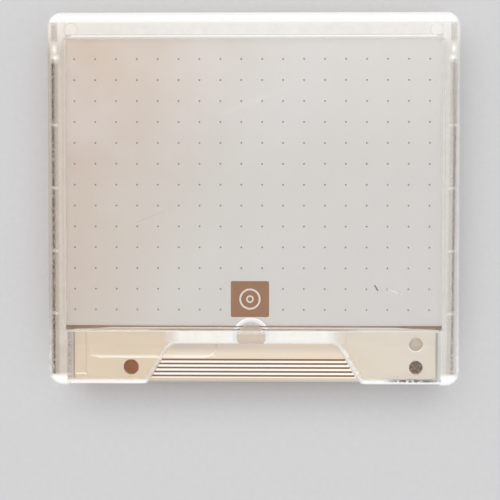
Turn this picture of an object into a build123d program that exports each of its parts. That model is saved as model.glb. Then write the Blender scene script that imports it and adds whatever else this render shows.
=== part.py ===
# Recordable disc cartridge, 72 x 68 x 5 mm, in its clear slip case with an index card.
# Units are millimetres. The case lies flat with its front wall up (+Z) and its open end towards -Y.
# The origin is the centre of the case's underside.

import os
from math import radians, tan

from build123d import *

os.makedirs("parts", exist_ok=True)

# Slip case: two clear shells welded face to face, made round the cartridge
rail_width = 3.85
closed_end_depth = 5.0
closed_corner_radius = 2.9
open_corner_radius = 2.8
back_wall = 0.9
front_wall = 1.0
frame_rise = 0.25
end_rounding = 1.5
front_edge_rounding = 0.9
back_edge_rounding = 0.5
wall_setback = 0.3
end_wall = 1.3
stop_wall = 0.9
end_pocket_from_side = 2.85
boss_diameter = 2.6
boss_from_side = 4.65
boss_from_end = 3.5

# Hollow rails of the case
rail_skin = 0.65
rail_pocket_width = 0.8
rail_pocket_count = 5
rail_pocket_pitch = 12.4
rail_rib = 0.6
rail_pocket_from_open_end = 2.3
corner_pocket_width = 1.3
corner_pocket_length = 4.2
corner_pocket_from_end = 1.7
corner_pocket_radius = 0.4

# Thumb cut-outs in the open end of both case walls
cutout_depth = 7.9
cutout_top_half_width = 16.4
cutout_mouth_half_width = 21.4
cutout_top_radius = 2.2
cutout_mouth_radius = 1.8

# Raised frame round the window, and the sloped fingertip dish that opens on the card's foot
window_side_margin = 0.05
window_from_closed_end = 5.3
window_corner_radius = 0.8
window_wall_slope = 45
dish_offset = -0.5
dish_below_pocket_foot = 1.0
dish_opening_radius = 2.15
dish_wall_slope = 42
dish_depth = 0.9

# Index card in its pocket under the front wall
card_over_shoulder = 0.4
card_over_stop = 0.4
card_thickness = 0.25
card_corner_radius = 0.6
card_side_gap = 0.3
pocket_depth = 0.4
pocket_foot_chamfer = 0.3
card_end_gap = 0.2
card_foot_gap = 1.1
sill_width = 2.5
window_foot_gap = 0.9

# Disc and its clamping plate
disc_diameter = 64.0
disc_thickness = 1.2
disc_above_label_face = 1.9
disc_hole = 11.0
disc_collar_diameter = 16.6
disc_collar_height = 0.6
disc_rim_clearance = 0.35
plate_diameter = 16.0
plate_thickness = 0.4
plate_hole = 4.0
plate_fit = 0.05
plate_dish_diameter = 9.0
plate_dish_depth = 0.15
support_ring_inside_rim = 11.0
support_ring_width = 1.5
support_gap = 0.05

# Cartridge, made round the disc
side_margin = 4.0
grip_edge_margin = 2.0
shutter_edge_margin = 2.0
cartridge_thickness = 5.0
cartridge_from_open_end = 0.5
cartridge_from_stop = 0.3
play_left = 1.2
play_right = 0.6
play_below = 0.15
play_above = 0.1
grip_corner_radius = 0.8
shutter_corner_radius = 1.5
cartridge_edge = 0.3
shell_face_wall = 1.0
label_side_height = 2.5

# Openings of the cartridge
hub_opening = 18.0
hub_bead_width = 1.2
hub_bead_rise = 0.12
head_window_width = 18.0
head_window_bridge = 2.8
head_window_inside_rim = 0.4
head_window_radius = 1.0

# Shutter, a folded sheet, and the slider that guides it
shutter_width = 25.0
shutter_sheet = 0.2
shutter_from_hub_opening = 1.3
shutter_tip_gap = 0.3
shutter_travel = 20.0
shutter_fold_radius = 0.28
shutter_inner_radius = 0.08
shutter_tip_radius = 0.8
shutter_rest_gap = 0.05
shutter_below_face = 0.1
shutter_side_gap = 0.2
slider_height = 2.4
slider_depth = 1.0
slider_fit = 0.1
slider_shortfall = 0.2
lock_arm_length = 5.2
lock_arm_thickness = 0.4
lock_arm_height = 1.8
lock_tooth_length = 0.9
lock_tooth_rise = 0.35
channel_end_gap = 0.5

# Write-protect tab in the grip corner
tab_width = 5.0
tab_length = 5.0
tab_fit = 0.1
tab_roof_gap = 0.05
tab_side_wall = 1.3
tab_travel = 4.0
tab_nub_length = 2.2
tab_nub_height = 1.4
tab_nub_shortfall = 0.15
tab_rib_count = 3
tab_rib_depth = 0.2

# Location and sensing holes, measured from the grip edge and the side edges of the cartridge
hole_from_grip_edge = 3.0
round_location_hole = 3.05
round_location_from_side = 11.3
location_hole_depth = 3.2
oval_location_from_side = 8.0
oval_location_from_grip_edge = 58.5
oval_location_length = 3.8
oval_location_width = 3.0
sensor_hole = 2.7
sensor_from_side = 4.1
protect_hole_from_grip_edge = 7.6

# Grip grooves across the hub-side face, longest beside the grip edge
groove_count = 5
groove_pitch = 0.8
groove_width = 0.4
groove_depth = 0.4
groove_from_grip_edge = 1.22
groove_half_length = 20.6
groove_shortening = 0.47
groove_offset = -0.8

# Shallow steps pressed into the hub-side face
step_depth = 0.25
step_slope = 50
panel_left = 2.5
panel_width = 25.7
panel_from_grip_edge = 5.1
panel_length = 24.0
panel_radius = 2.4
ledge_width = 2.2
ledge_from_grip_edge = 1.8
ledge_length = 48.0

# Label-side face
label_recess_from_side = 8.0
label_recess_length = 33.0
label_recess_from_grip_edge = 8.0
label_recess_radius = 2.0
label_recess_depth = 0.15
arrow_length = 4.2
arrow_half_width = 3.0
arrow_from_side = 7.5
arrow_from_shutter_edge = 8.0
arrow_depth = 0.15

# Levels and places that follow from the sizes above
disc_radius = disc_diameter / 2
cartridge_width = disc_diameter + 2 * side_margin
cartridge_length = disc_diameter + grip_edge_margin + shutter_edge_margin
cavity_width = cartridge_width + play_left + play_right
case_width = cavity_width + 2 * rail_width
case_length = cartridge_from_open_end + cartridge_length + cartridge_from_stop + closed_end_depth
open_end = -case_length / 2
closed_end = case_length / 2
wall_end = open_end + wall_setback
cartridge_floor = back_wall + play_below
cartridge_top = cartridge_floor + cartridge_thickness
seam_level = cartridge_top + play_above
pocket_roof = seam_level + pocket_depth
window_level = pocket_roof + front_wall
case_top = window_level + frame_rise
stop_face = closed_end - closed_end_depth
cutout_top = wall_end + cutout_depth
pocket_foot = cutout_top + sill_width
window_head = closed_end - window_from_closed_end
window_foot = pocket_foot + window_foot_gap
card_width = cavity_width + 2 * card_over_shoulder
card_foot = pocket_foot + card_foot_gap
card_head = stop_face + card_over_stop
pocket_width = card_width + 2 * card_side_gap
window_width = pocket_width + 2 * window_side_margin

cartridge_grip_edge = open_end + cartridge_from_open_end
cartridge_shutter_edge = cartridge_grip_edge + cartridge_length
cartridge_offset = (play_left - play_right) / 2
disc_centre_y = cartridge_grip_edge + grip_edge_margin + disc_radius
disc_centre = (cartridge_offset, disc_centre_y)
cartridge_left = cartridge_offset - cartridge_width / 2
cartridge_right = cartridge_offset + cartridge_width / 2
cartridge_split = cartridge_floor + label_side_height
label_inner = cartridge_floor + shell_face_wall
hub_inner = cartridge_top - shell_face_wall
hole_y = cartridge_grip_edge + hole_from_grip_edge
face_recess = shutter_below_face + shutter_sheet + shutter_rest_gap


# Shared profiles of the slip case
with BuildSketch() as case_outline:
    Rectangle(case_width, case_length)
    fillet(case_outline.vertices().group_by(Axis.Y)[-1], closed_corner_radius)
    fillet(case_outline.vertices().group_by(Axis.Y)[0], open_corner_radius)

with BuildSketch(Plane.YZ) as case_side:
    with Locations((0, case_top / 2)):
        Rectangle(case_length, case_top)
    fillet(case_side.vertices().group_by(Axis.X)[-1], end_rounding)

with BuildSketch() as cutout_funnel:
    with BuildLine():
        Polyline(
            (-cutout_top_half_width, cutout_top),
            (cutout_top_half_width, cutout_top),
            (cutout_mouth_half_width, open_end),
            (-cutout_mouth_half_width, open_end),
            close=True,
        )
    make_face()
    fillet(cutout_funnel.vertices().group_by(Axis.Y)[-1], cutout_top_radius)

# Outline of each wall, with the funnel's mouth rounded off into the open end
with BuildSketch() as wall_outline:
    add(case_outline.sketch)
    add(cutout_funnel.sketch, mode=Mode.SUBTRACT)
    mouth_corners = wall_outline.vertices().group_by(Axis.Y)[0].sort_by(Axis.X)[1:-1]
    fillet(mouth_corners, cutout_mouth_radius)

# Strip by which both walls end short of the rails
with BuildSketch() as wall_end_relief:
    with Locations((0, wall_end)):
        Rectangle(cavity_width, case_length, align=(Align.CENTER, Align.MAX))


# Case back: the rear wall, both hollow rails and the closed end
rail_pocket_x = case_width / 2 - rail_skin - rail_pocket_width / 2
rail_pocket_length = rail_pocket_pitch - rail_rib
rail_pocket_mid_y = open_end + rail_pocket_from_open_end + rail_pocket_count * rail_pocket_pitch / 2
corner_pocket_x = case_width / 2 - rail_skin - corner_pocket_width / 2
corner_pocket_y = closed_end - corner_pocket_from_end - corner_pocket_length / 2
end_pocket_length = closed_end_depth - end_wall - stop_wall

with BuildPart() as case_back:
    extrude(wall_outline.sketch, amount=back_wall)
    fillet(case_back.faces().sort_by(Axis.Z)[0].edges(), back_edge_rounding)
    with BuildSketch(Plane.XY.offset(back_wall)):
        add(case_outline.sketch)
    extrude(amount=seam_level - back_wall)
    extrude(case_side.sketch, amount=case_width, both=True, mode=Mode.INTERSECT)
    with BuildSketch(Plane.XY.offset(back_wall)):
        with Locations((0, stop_face)):
            Rectangle(cavity_width, 2 * case_length, align=(Align.CENTER, Align.MAX))
        with Locations((0, stop_face + stop_wall)):
            Rectangle(case_width - 2 * end_pocket_from_side, end_pocket_length, align=(Align.CENTER, Align.MIN))
        with GridLocations(2 * corner_pocket_x, 0, 2, 1):
            with Locations((0, corner_pocket_y)):
                RectangleRounded(corner_pocket_width, corner_pocket_length, corner_pocket_radius)
        with Locations((0, rail_pocket_mid_y)):
            with GridLocations(2 * rail_pocket_x, rail_pocket_pitch, 2, rail_pocket_count):
                Rectangle(rail_pocket_width, rail_pocket_length)
    extrude(amount=case_top, mode=Mode.SUBTRACT)
    with BuildSketch(Plane.XY.offset(back_wall)):
        with Locations((0, closed_end - boss_from_end)):
            with GridLocations(case_width - 2 * boss_from_side, 0, 2, 1):
                Circle(boss_diameter / 2)
    extrude(amount=seam_level - back_wall)
    extrude(wall_end_relief.sketch, amount=back_wall, mode=Mode.SUBTRACT)
case_back.part.label = "case_back"
export_step(case_back.part, "parts/case_back.step")


# Case front: the front wall with its raised frame, the card pocket and the fingertip dish
dish_centre_y = pocket_foot - dish_below_pocket_foot
dish_floor = case_top - dish_depth
dish_floor_radius = dish_opening_radius + (dish_floor - seam_level) * tan(radians(dish_wall_slope))

with BuildPart() as case_front:
    with BuildSketch(Plane.XY.offset(seam_level)):
        add(wall_outline.sketch)
    extrude(amount=case_top - seam_level)
    fillet(case_front.faces().sort_by(Axis.Z)[-1].edges(), front_edge_rounding)
    extrude(case_side.sketch, amount=case_width, both=True, mode=Mode.INTERSECT)
    with BuildSketch(Plane.XY.offset(seam_level)):
        add(wall_end_relief.sketch)
    extrude(amount=case_top, mode=Mode.SUBTRACT)
    with BuildSketch(Plane.XY.offset(window_level)):
        with Locations((0, window_head)):
            RectangleRounded(
                window_width, window_head - window_foot, window_corner_radius, align=(Align.CENTER, Align.MAX)
            )
    extrude(amount=frame_rise, taper=-window_wall_slope, mode=Mode.SUBTRACT)
    with BuildSketch(Plane.XY.offset(seam_level)):
        with Locations((0, pocket_foot)):
            Rectangle(pocket_width, card_head + card_end_gap - pocket_foot, align=(Align.CENTER, Align.MIN))
    extrude(amount=pocket_depth, mode=Mode.SUBTRACT)
    roof_edges = case_front.edges().filter_by_position(Axis.Z, pocket_roof, pocket_roof)
    chamfer(roof_edges.group_by(Axis.Y)[0], pocket_foot_chamfer)
    with BuildSketch(Plane.XY.offset(seam_level)):
        with Locations((dish_offset, pocket_foot)):
            Rectangle(2 * dish_opening_radius, dish_opening_radius, align=(Align.CENTER, Align.MIN))
        with Locations((dish_offset, dish_centre_y)):
            Circle(dish_opening_radius, mode=Mode.INTERSECT)
    extrude(amount=dish_floor - seam_level, taper=-dish_wall_slope, mode=Mode.SUBTRACT)
    with BuildSketch(Plane.XY.offset(dish_floor)):
        with Locations((dish_offset, dish_centre_y)):
            Circle(dish_floor_radius)
    extrude(amount=dish_depth, taper=-dish_wall_slope, mode=Mode.SUBTRACT)
case_front.part.label = "case_front"
export_step(case_front.part, "parts/case_front.step")


# Index card, lying on the rails' inner shoulders
with BuildPart() as index_card:
    with BuildSketch(Plane.XY.offset(seam_level)):
        with Locations((0, card_head)):
            RectangleRounded(card_width, card_head - card_foot, card_corner_radius, align=(Align.CENTER, Align.MAX))
    extrude(amount=card_thickness)
index_card.part.label = "index_card"
export_step(index_card.part, "parts/index_card.step")


# Shared profiles of the cartridge
web_inner_face = cartridge_shutter_edge - shutter_below_face - shutter_sheet
shutter_end = disc_centre_y + hub_opening / 2 + shutter_from_hub_opening
shutter_left = cartridge_offset - shutter_width / 2
sweep_left = shutter_left - shutter_side_gap
sweep_width = shutter_width + shutter_travel + 2 * shutter_side_gap
channel_left = shutter_left + slider_shortfall - lock_arm_length - channel_end_gap
channel_width = sweep_left + sweep_width - channel_left
channel_height = slider_height + 2 * slider_fit
sensor_x = cartridge_right - sensor_from_side
protect_y = cartridge_grip_edge + protect_hole_from_grip_edge
tab_right = cartridge_right - tab_side_wall - tab_fit
tab_left = tab_right - tab_width

with BuildSketch() as cartridge_outline:
    with Locations((cartridge_offset, cartridge_grip_edge)):
        Rectangle(cartridge_width, cartridge_length, align=(Align.CENTER, Align.MIN))
    fillet(cartridge_outline.vertices().group_by(Axis.Y)[-1], shutter_corner_radius)
    fillet(cartridge_outline.vertices().group_by(Axis.Y)[0], grip_corner_radius)

with BuildSketch() as head_window:
    with Locations((cartridge_offset, disc_centre_y + disc_radius - head_window_inside_rim)):
        RectangleRounded(
            head_window_width,
            disc_radius - head_window_inside_rim - hub_opening / 2 - head_window_bridge,
            head_window_radius,
            align=(Align.CENTER, Align.MAX),
        )

# Where the shutter's wings sweep over each face
with BuildSketch() as wing_sweep:
    with Locations((sweep_left, shutter_end - shutter_tip_gap)):
        Rectangle(sweep_width, cartridge_length, align=(Align.MIN, Align.MIN))

# Where the shutter's fold sweeps along the shutter edge
with BuildSketch() as fold_sweep:
    with Locations((sweep_left, cartridge_shutter_edge - face_recess)):
        Rectangle(sweep_width, cartridge_length, align=(Align.MIN, Align.MIN))

with BuildSketch() as slider_channel:
    with Locations((channel_left, web_inner_face - slider_depth - slider_fit)):
        Rectangle(channel_width, cartridge_length, align=(Align.MIN, Align.MIN))
    with Locations((channel_left, cartridge_shutter_edge - face_recess)):
        Rectangle(sweep_left - channel_left, cartridge_length, align=(Align.MIN, Align.MIN), mode=Mode.SUBTRACT)

with BuildSketch() as tab_pocket:
    with Locations((tab_left - tab_fit, protect_y - tab_length / 2 - tab_fit)):
        Rectangle(tab_width + 2 * tab_fit, tab_length + tab_travel + 2 * tab_fit, align=(Align.MIN, Align.MIN))

with BuildSketch() as nub_slot:
    with Locations((tab_right, protect_y - tab_nub_length / 2 - tab_fit)):
        Rectangle(cartridge_width, tab_nub_length + tab_travel + 2 * tab_fit, align=(Align.MIN, Align.MIN))

with BuildSketch() as location_holes:
    with Locations((cartridge_left + round_location_from_side, hole_y)):
        Circle(round_location_hole / 2)
    with Locations((cartridge_left + oval_location_from_side, cartridge_grip_edge + oval_location_from_grip_edge)):
        SlotOverall(oval_location_length, oval_location_width, rotation=90)


# Label-side shell: the lower half, with the label recess, the arrow and the ring that carries the disc
disc_floor = cartridge_floor + disc_above_label_face
disc_chamber_radius = disc_radius + disc_rim_clearance
support_ring_radius = disc_radius - support_ring_inside_rim
channel_floor = cartridge_split - channel_height / 2
nub_slot_height = tab_nub_height + 2 * tab_fit
arrow_x = cartridge_left + arrow_from_side
arrow_y = cartridge_shutter_edge - arrow_from_shutter_edge

with BuildPart() as label_side_shell:
    with BuildSketch(Plane.XY.offset(cartridge_floor)):
        add(cartridge_outline.sketch)
    extrude(amount=label_side_height)
    chamfer(label_side_shell.faces().sort_by(Axis.Z)[0].edges(), cartridge_edge)
    with BuildSketch(Plane.XY.offset(label_inner)):
        with Locations(disc_centre):
            Circle(disc_chamber_radius)
        add(tab_pocket.sketch)
    extrude(amount=cartridge_thickness, mode=Mode.SUBTRACT)
    with BuildSketch(Plane.XY.offset(label_inner)):
        with Locations(disc_centre):
            Circle(support_ring_radius + support_ring_width)
            Circle(support_ring_radius, mode=Mode.SUBTRACT)
    extrude(amount=disc_floor - support_gap - label_inner)
    with BuildSketch(Plane.XY.offset(cartridge_floor)):
        add(head_window.sketch)
        with Locations((sensor_x, hole_y)):
            Circle(sensor_hole / 2)
        add(fold_sweep.sketch)
    extrude(amount=cartridge_thickness, mode=Mode.SUBTRACT)
    with BuildSketch(Plane.XY.offset(cartridge_floor)):
        add(wing_sweep.sketch)
    extrude(amount=face_recess, mode=Mode.SUBTRACT)
    with BuildSketch(Plane.XY.offset(channel_floor)):
        add(slider_channel.sketch)
    extrude(amount=cartridge_thickness, mode=Mode.SUBTRACT)
    with BuildSketch(Plane.XY.offset(cartridge_top - location_hole_depth)):
        add(location_holes.sketch)
    extrude(amount=cartridge_thickness, mode=Mode.SUBTRACT)
    with BuildSketch(Plane.XY.offset(cartridge_split - nub_slot_height / 2)):
        add(nub_slot.sketch)
    extrude(amount=cartridge_thickness, mode=Mode.SUBTRACT)
    with BuildSketch(Plane.XY.offset(cartridge_floor)):
        with Locations((cartridge_offset, cartridge_grip_edge + label_recess_from_grip_edge)):
            RectangleRounded(
                cartridge_width - 2 * label_recess_from_side,
                label_recess_length,
                label_recess_radius,
                align=(Align.CENTER, Align.MIN),
            )
    extrude(amount=label_recess_depth, mode=Mode.SUBTRACT)
    with BuildSketch(Plane.XY.offset(cartridge_floor)):
        with BuildLine():
            Polyline(
                (arrow_x, arrow_y),
                (arrow_x - arrow_half_width, arrow_y - arrow_length),
                (arrow_x + arrow_half_width, arrow_y - arrow_length),
                close=True,
            )
        make_face()
    extrude(amount=arrow_depth, mode=Mode.SUBTRACT)
label_side_shell.part.label = "label_side_shell"
export_step(label_side_shell.part, "parts/label_side_shell.step")


# Hub-side shell: the upper half, with the hub opening, the grip grooves and the sensing holes
hub_side_height = cartridge_thickness - label_side_height

with BuildPart() as hub_side_shell:
    with BuildSketch(Plane.XY.offset(cartridge_split)):
        add(cartridge_outline.sketch)
    extrude(amount=hub_side_height)
    chamfer(hub_side_shell.faces().sort_by(Axis.Z)[-1].edges(), cartridge_edge)
    with BuildSketch(Plane.XY.offset(cartridge_split)):
        with Locations(disc_centre):
            Circle(disc_chamber_radius)
        add(tab_pocket.sketch)
    extrude(amount=hub_inner - cartridge_split, mode=Mode.SUBTRACT)
    with BuildSketch(Plane.XY.offset(cartridge_split)):
        with Locations(disc_centre):
            Circle(hub_opening / 2)
        add(head_window.sketch)
        with Locations((sensor_x, hole_y), (sensor_x, protect_y)):
            Circle(sensor_hole / 2)
        add(location_holes.sketch)
        add(fold_sweep.sketch)
    extrude(amount=cartridge_thickness, mode=Mode.SUBTRACT)
    with BuildSketch(Plane.XY.offset(cartridge_split)):
        add(slider_channel.sketch)
    extrude(amount=channel_height / 2, mode=Mode.SUBTRACT)
    with BuildSketch(Plane.XY.offset(cartridge_split)):
        add(nub_slot.sketch)
    extrude(amount=nub_slot_height / 2, mode=Mode.SUBTRACT)
    with BuildSketch(Plane.XY.offset(cartridge_top - face_recess)):
        add(wing_sweep.sketch)
    extrude(amount=face_recess, mode=Mode.SUBTRACT)
    with BuildSketch(Plane.XY.offset(cartridge_top - groove_depth)):
        for groove in range(groove_count):
            groove_y = cartridge_grip_edge + groove_from_grip_edge + groove * groove_pitch
            groove_length = 2 * (groove_half_length - groove * groove_shortening)
            with Locations((cartridge_offset + groove_offset, groove_y)):
                SlotOverall(groove_length, groove_width)
    extrude(amount=groove_depth, mode=Mode.SUBTRACT)
    with BuildSketch(Plane.XY.offset(cartridge_top - step_depth)):
        with Locations((cartridge_left + panel_left, cartridge_grip_edge + panel_from_grip_edge)):
            RectangleRounded(panel_width, panel_length, panel_radius, align=(Align.MIN, Align.MIN))
        with Locations((cartridge_left, cartridge_grip_edge + ledge_from_grip_edge)):
            Rectangle(ledge_width, ledge_length, align=(Align.MIN, Align.MIN))
    extrude(amount=step_depth, taper=-step_slope, mode=Mode.SUBTRACT)
    with BuildSketch(Plane.XY.offset(hub_inner)):
        with Locations(disc_centre):
            Circle(hub_opening / 2 + hub_bead_width)
            Circle(hub_opening / 2, mode=Mode.SUBTRACT)
    extrude(amount=-hub_bead_rise)
hub_side_shell.part.label = "hub_side_shell"
export_step(hub_side_shell.part, "parts/hub_side_shell.step")


# Disc with its collar, and the clamping plate let into its underside
turning_plane = Plane(origin=(*disc_centre, disc_floor), x_dir=(1, 0, 0), z_dir=(0, -1, 0))
turning_axis = Axis((*disc_centre, 0), (0, 0, 1))
bore_radius = disc_hole / 2
collar_radius = disc_collar_diameter / 2
plate_seat_radius = plate_diameter / 2 + plate_fit
collar_top = disc_thickness + disc_collar_height

with BuildPart() as disc:
    with BuildSketch(turning_plane):
        with BuildLine():
            Polyline(
                (plate_seat_radius, 0),
                (disc_radius, 0),
                (disc_radius, disc_thickness),
                (collar_radius, disc_thickness),
                (collar_radius, collar_top),
                (bore_radius, collar_top),
                (bore_radius, plate_thickness),
                (plate_seat_radius, plate_thickness),
                close=True,
            )
        make_face()
    revolve(axis=turning_axis)
disc.part.label = "disc"
export_step(disc.part, "parts/disc.step")

dish_radius = plate_dish_diameter / 2

with BuildPart() as clamping_plate:
    with BuildSketch(turning_plane):
        with BuildLine():
            Polyline(
                (plate_hole / 2, plate_dish_depth),
                (dish_radius - plate_dish_depth, plate_dish_depth),
                (dish_radius, 0),
                (plate_diameter / 2, 0),
                (plate_diameter / 2, plate_thickness),
                (dish_radius, plate_thickness),
                (dish_radius - plate_dish_depth, plate_thickness + plate_dish_depth),
                (plate_hole / 2, plate_thickness + plate_dish_depth),
                close=True,
            )
        make_face()
    revolve(axis=turning_axis)
clamping_plate.part.label = "clamping_plate"
export_step(clamping_plate.part, "parts/clamping_plate.step")


# Shutter: one sheet folded round the shutter edge, with a wing over each face
wing_low = cartridge_floor + shutter_below_face
wing_high = cartridge_top - shutter_below_face
fold_outer = cartridge_shutter_edge - shutter_below_face

with BuildSketch(Plane.YZ.offset(shutter_left)) as fold_outside:
    with Locations((shutter_end, wing_low)):
        Rectangle(fold_outer - shutter_end, wing_high - wing_low, align=(Align.MIN, Align.MIN))
    fillet(fold_outside.vertices().group_by(Axis.X)[-1], shutter_fold_radius)

with BuildSketch(Plane.YZ.offset(shutter_left)) as fold_inside:
    with Locations((web_inner_face, wing_low + shutter_sheet)):
        Rectangle(cartridge_length, wing_high - wing_low - 2 * shutter_sheet, align=(Align.MAX, Align.MIN))
    fillet(fold_inside.vertices().group_by(Axis.X)[-1], shutter_inner_radius)

with BuildPart() as shutter:
    extrude(fold_outside.sketch, amount=shutter_width)
    extrude(fold_inside.sketch, amount=shutter_width, mode=Mode.SUBTRACT)
    fillet(shutter.edges().filter_by(Axis.Z).group_by(Axis.Y)[0], shutter_tip_radius)
shutter.part.label = "shutter"
export_step(shutter.part, "parts/shutter.step")


# Shutter slider: a bar behind the shutter's fold, with a springy lock arm that ends in a tooth
slider_length = shutter_width - 2 * slider_shortfall
slider_back = web_inner_face - slider_depth
slider_left = cartridge_offset - slider_length / 2
arm_tip = slider_left - lock_arm_length

with BuildPart() as shutter_slider:
    with BuildSketch(Plane.XY.offset(cartridge_split - slider_height / 2)):
        with Locations((slider_left, slider_back)):
            Rectangle(slider_length, slider_depth, align=(Align.MIN, Align.MIN))
    extrude(amount=slider_height)
    with BuildSketch(Plane.XY.offset(cartridge_split - lock_arm_height / 2)):
        with Locations((arm_tip, slider_back)):
            Rectangle(lock_arm_length, lock_arm_thickness, align=(Align.MIN, Align.MIN))
        with BuildLine():
            Polyline(
                (arm_tip, slider_back),
                (arm_tip, slider_back + lock_arm_thickness + lock_tooth_rise),
                (arm_tip + lock_tooth_length / 2, slider_back + lock_arm_thickness + lock_tooth_rise),
                (arm_tip + lock_tooth_length, slider_back + lock_arm_thickness),
                (arm_tip + lock_tooth_length, slider_back),
                close=True,
            )
        make_face()
    extrude(amount=lock_arm_height)
shutter_slider.part.label = "shutter_slider"
export_step(shutter_slider.part, "parts/shutter_slider.step")


# Write-protect tab: a block that closes its sensing hole, with a ribbed nub in the side wall
tab_floor = label_inner + tab_fit
tab_height = hub_inner - tab_roof_gap - tab_floor
nub_end = cartridge_right - tab_nub_shortfall
rib_pitch = tab_nub_length / tab_rib_count

with BuildPart() as write_protect_tab:
    with BuildSketch(Plane.XY.offset(tab_floor)):
        with Locations((tab_left, protect_y)):
            Rectangle(tab_width, tab_length, align=(Align.MIN, Align.CENTER))
    extrude(amount=tab_height)
    with BuildSketch(Plane.XY.offset(cartridge_split - tab_nub_height / 2)):
        with Locations((tab_right, protect_y)):
            Rectangle(nub_end - tab_right, tab_nub_length, align=(Align.MIN, Align.CENTER))
        with Locations((nub_end, protect_y)):
            with GridLocations(0, rib_pitch, 1, tab_rib_count - 1):
                Rectangle(2 * tab_rib_depth, rib_pitch / 3, mode=Mode.SUBTRACT)
    extrude(amount=tab_nub_height)
write_protect_tab.part.label = "write_protect_tab"
export_step(write_protect_tab.part, "parts/write_protect_tab.step")
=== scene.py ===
# Looks of the disc cartridge in its clear slip case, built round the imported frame.
# Lengths are in metres, and positions inside materials are in millimetres of the same frame.
# A mask is 1 where a mark shows in full and 0 where it doesn't, and fades between two positions.

import math

import bmesh
import bpy
from mathutils import Matrix, Vector


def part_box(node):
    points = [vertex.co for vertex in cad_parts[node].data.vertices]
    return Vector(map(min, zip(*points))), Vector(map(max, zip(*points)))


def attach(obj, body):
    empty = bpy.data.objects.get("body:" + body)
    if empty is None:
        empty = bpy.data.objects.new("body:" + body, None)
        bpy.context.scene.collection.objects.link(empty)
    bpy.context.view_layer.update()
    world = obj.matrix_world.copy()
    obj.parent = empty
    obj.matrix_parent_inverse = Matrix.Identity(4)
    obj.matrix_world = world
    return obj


MM = 0.001

# Camera: nearly overhead, leaning a little towards the closed end and the right-hand rail
CAMERA_DISTANCE = 400 * MM
CAMERA_LEAN_RIGHT = math.radians(1.8)
CAMERA_LEAN_CLOSED_END = math.radians(2.7)
CAMERA_LENS = 145.35
CAMERA_SENSOR = 36.0
CAMERA_CLIP = (0.01, 10.0)
CAMERA_TARGET = (-0.7 * MM, -10.05 * MM, 7 * MM)

# Soft boxes, all aimed at the frame's origin: name, size, place, watts and colour
LIGHTS = (
    ("key_light", (0.7, 0.7), (-0.45, 0.30, 0.55), 2.02, (1.0, 0.955, 0.92)),
    ("fill_light", (0.7, 0.7), (0.55, -0.10, 0.50), 1.39, (0.93, 0.96, 1.0)),
    ("end_light", (0.8, 0.30), (0.0, 0.46, 0.42), 1.24, (1.0, 0.99, 0.97)),
    ("front_light", (0.8, 0.30), (0.0, -0.46, 0.42), 1.27, (1.0, 0.98, 0.96)),
)
WORLD_COLOUR = (0.93, 0.95, 1.0)
WORLD_STRENGTH = 0.45
FLOOR_HALF = 0.9
FLOOR_DROP = 0.02 * MM
FLOOR_PALE = (0.600, 0.600, 0.605)
FLOOR_PALER = (0.620, 0.618, 0.615)

# Printed dots: 18 columns of 14 rows, and the square that two columns make room for
DOT_COLUMNS = 18
DOT_ROWS = 14
DOT_PITCH = 4.135
DOT_FIRST_X = -35.52
DOT_FIRST_Y = -21.94
DOT_RADIUS = 0.19
DOT_SIDES = 10
SQUARE_X = -0.72
SQUARE_Y = -19.82
SQUARE_WIDTH = 7.6
SQUARE_LENGTH = 7.15
SQUARE_RADIUS = 0.35
RINGS = ((2.1, 1.75), (0.75, 0.45))
RING_SIDES = 48
INK_THICKNESS = 0.012

# Outlines of the case that its milky places, painted highlights and painted shade follow
FRONT_FACE = 7.5
FRONT_WALL_BACK = 6.1
BACK_WALL_TOP = 1.0
DISH_HEIGHT = 6.6
CAVITY_SIDE = 36.9
RAIL_INSIDE = 37.3
RAIL_END = -34.5
POCKET_START = -34.6
POCKET_END = 27.4
HOLLOW_LEFT = 39.35
HOLLOW_RIGHT = 38.95
HOLLOW_WIDTH = 0.65
RIB_Y = 2.2
RIB_PITCH = 12.42
BOSS_X = 36.1
BOSS_Y = 33.4
BOSS_RADIUS = 1.3
WINDOW_HEAD = 31.6
CLOSED_END = 32.1
END_WALL = 35.0
CUTOUT_TOP = -28.7
CUTOUT_TOP_HALF = 16.4
CUTOUT_SPREAD = 0.61
POCKET_FOOT = -26.2
CARD_FOOT = -25.1
DISH_X = -0.5
DISH_Y = -27.2
DISH_FLOOR_RADIUS = 2.83
DISH_TOP_RADIUS = 3.65

# Outlines of the cartridge
CARTRIDGE_LEFT = -35.7
CARTRIDGE_RIGHT = 36.3
SHELL_FACE = 5.7
PANEL_STEP = -31.3
PANEL_START = -32.8
PANEL_END = -7.4
GRIP_CENTRE = -0.5
GRIP_HALF = 21.5
GRIP_START = -31.0
ROUND_HOLE = (-24.4, -33.4)
SENSING_HOLE = (32.2, -33.4)
CLOSED_HOLE = (32.2, -28.8)

# Outlines of the disc
DISC_HUB_RADIUS = 9.3
DISC_RECORDED_RADIUS = 14.2

# How milky the case's plastic is: 0 is clear and 1 is solid. Several of these also set how strongly a painted
# highlight shows
VEIL = 0.012
EDGE_MILK = 0.85
LEFT_SLANT_SHARE = 0.45
RAIL_MILK = 0.55
RAIL_FOOT_MILK = 0.95
HOLLOW_LOSS = 0.55
OUTSIDE_MILK = 0.60
END_MILK = 0.55
LIP_MILK = 0.36
END_WALL_MILK = 0.86
STOP_MILK = 0.75
BOSS_SHARE = 0.72
SILL_MILK = 0.57
DISH_GLOW = 0.88
GLINT_MILK = 0.80
RIB_MILK = 0.55
LEFT_GAP_MILK = 0.50
RIGHT_GAP_MILK = 0.72
FOOT_LINE_MILK = 0.65
WALL_FOOT_MILK = 0.85
SLANT_MILK = (0.42, 0.95)
SHADE_STRENGTH = 0.95

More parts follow.
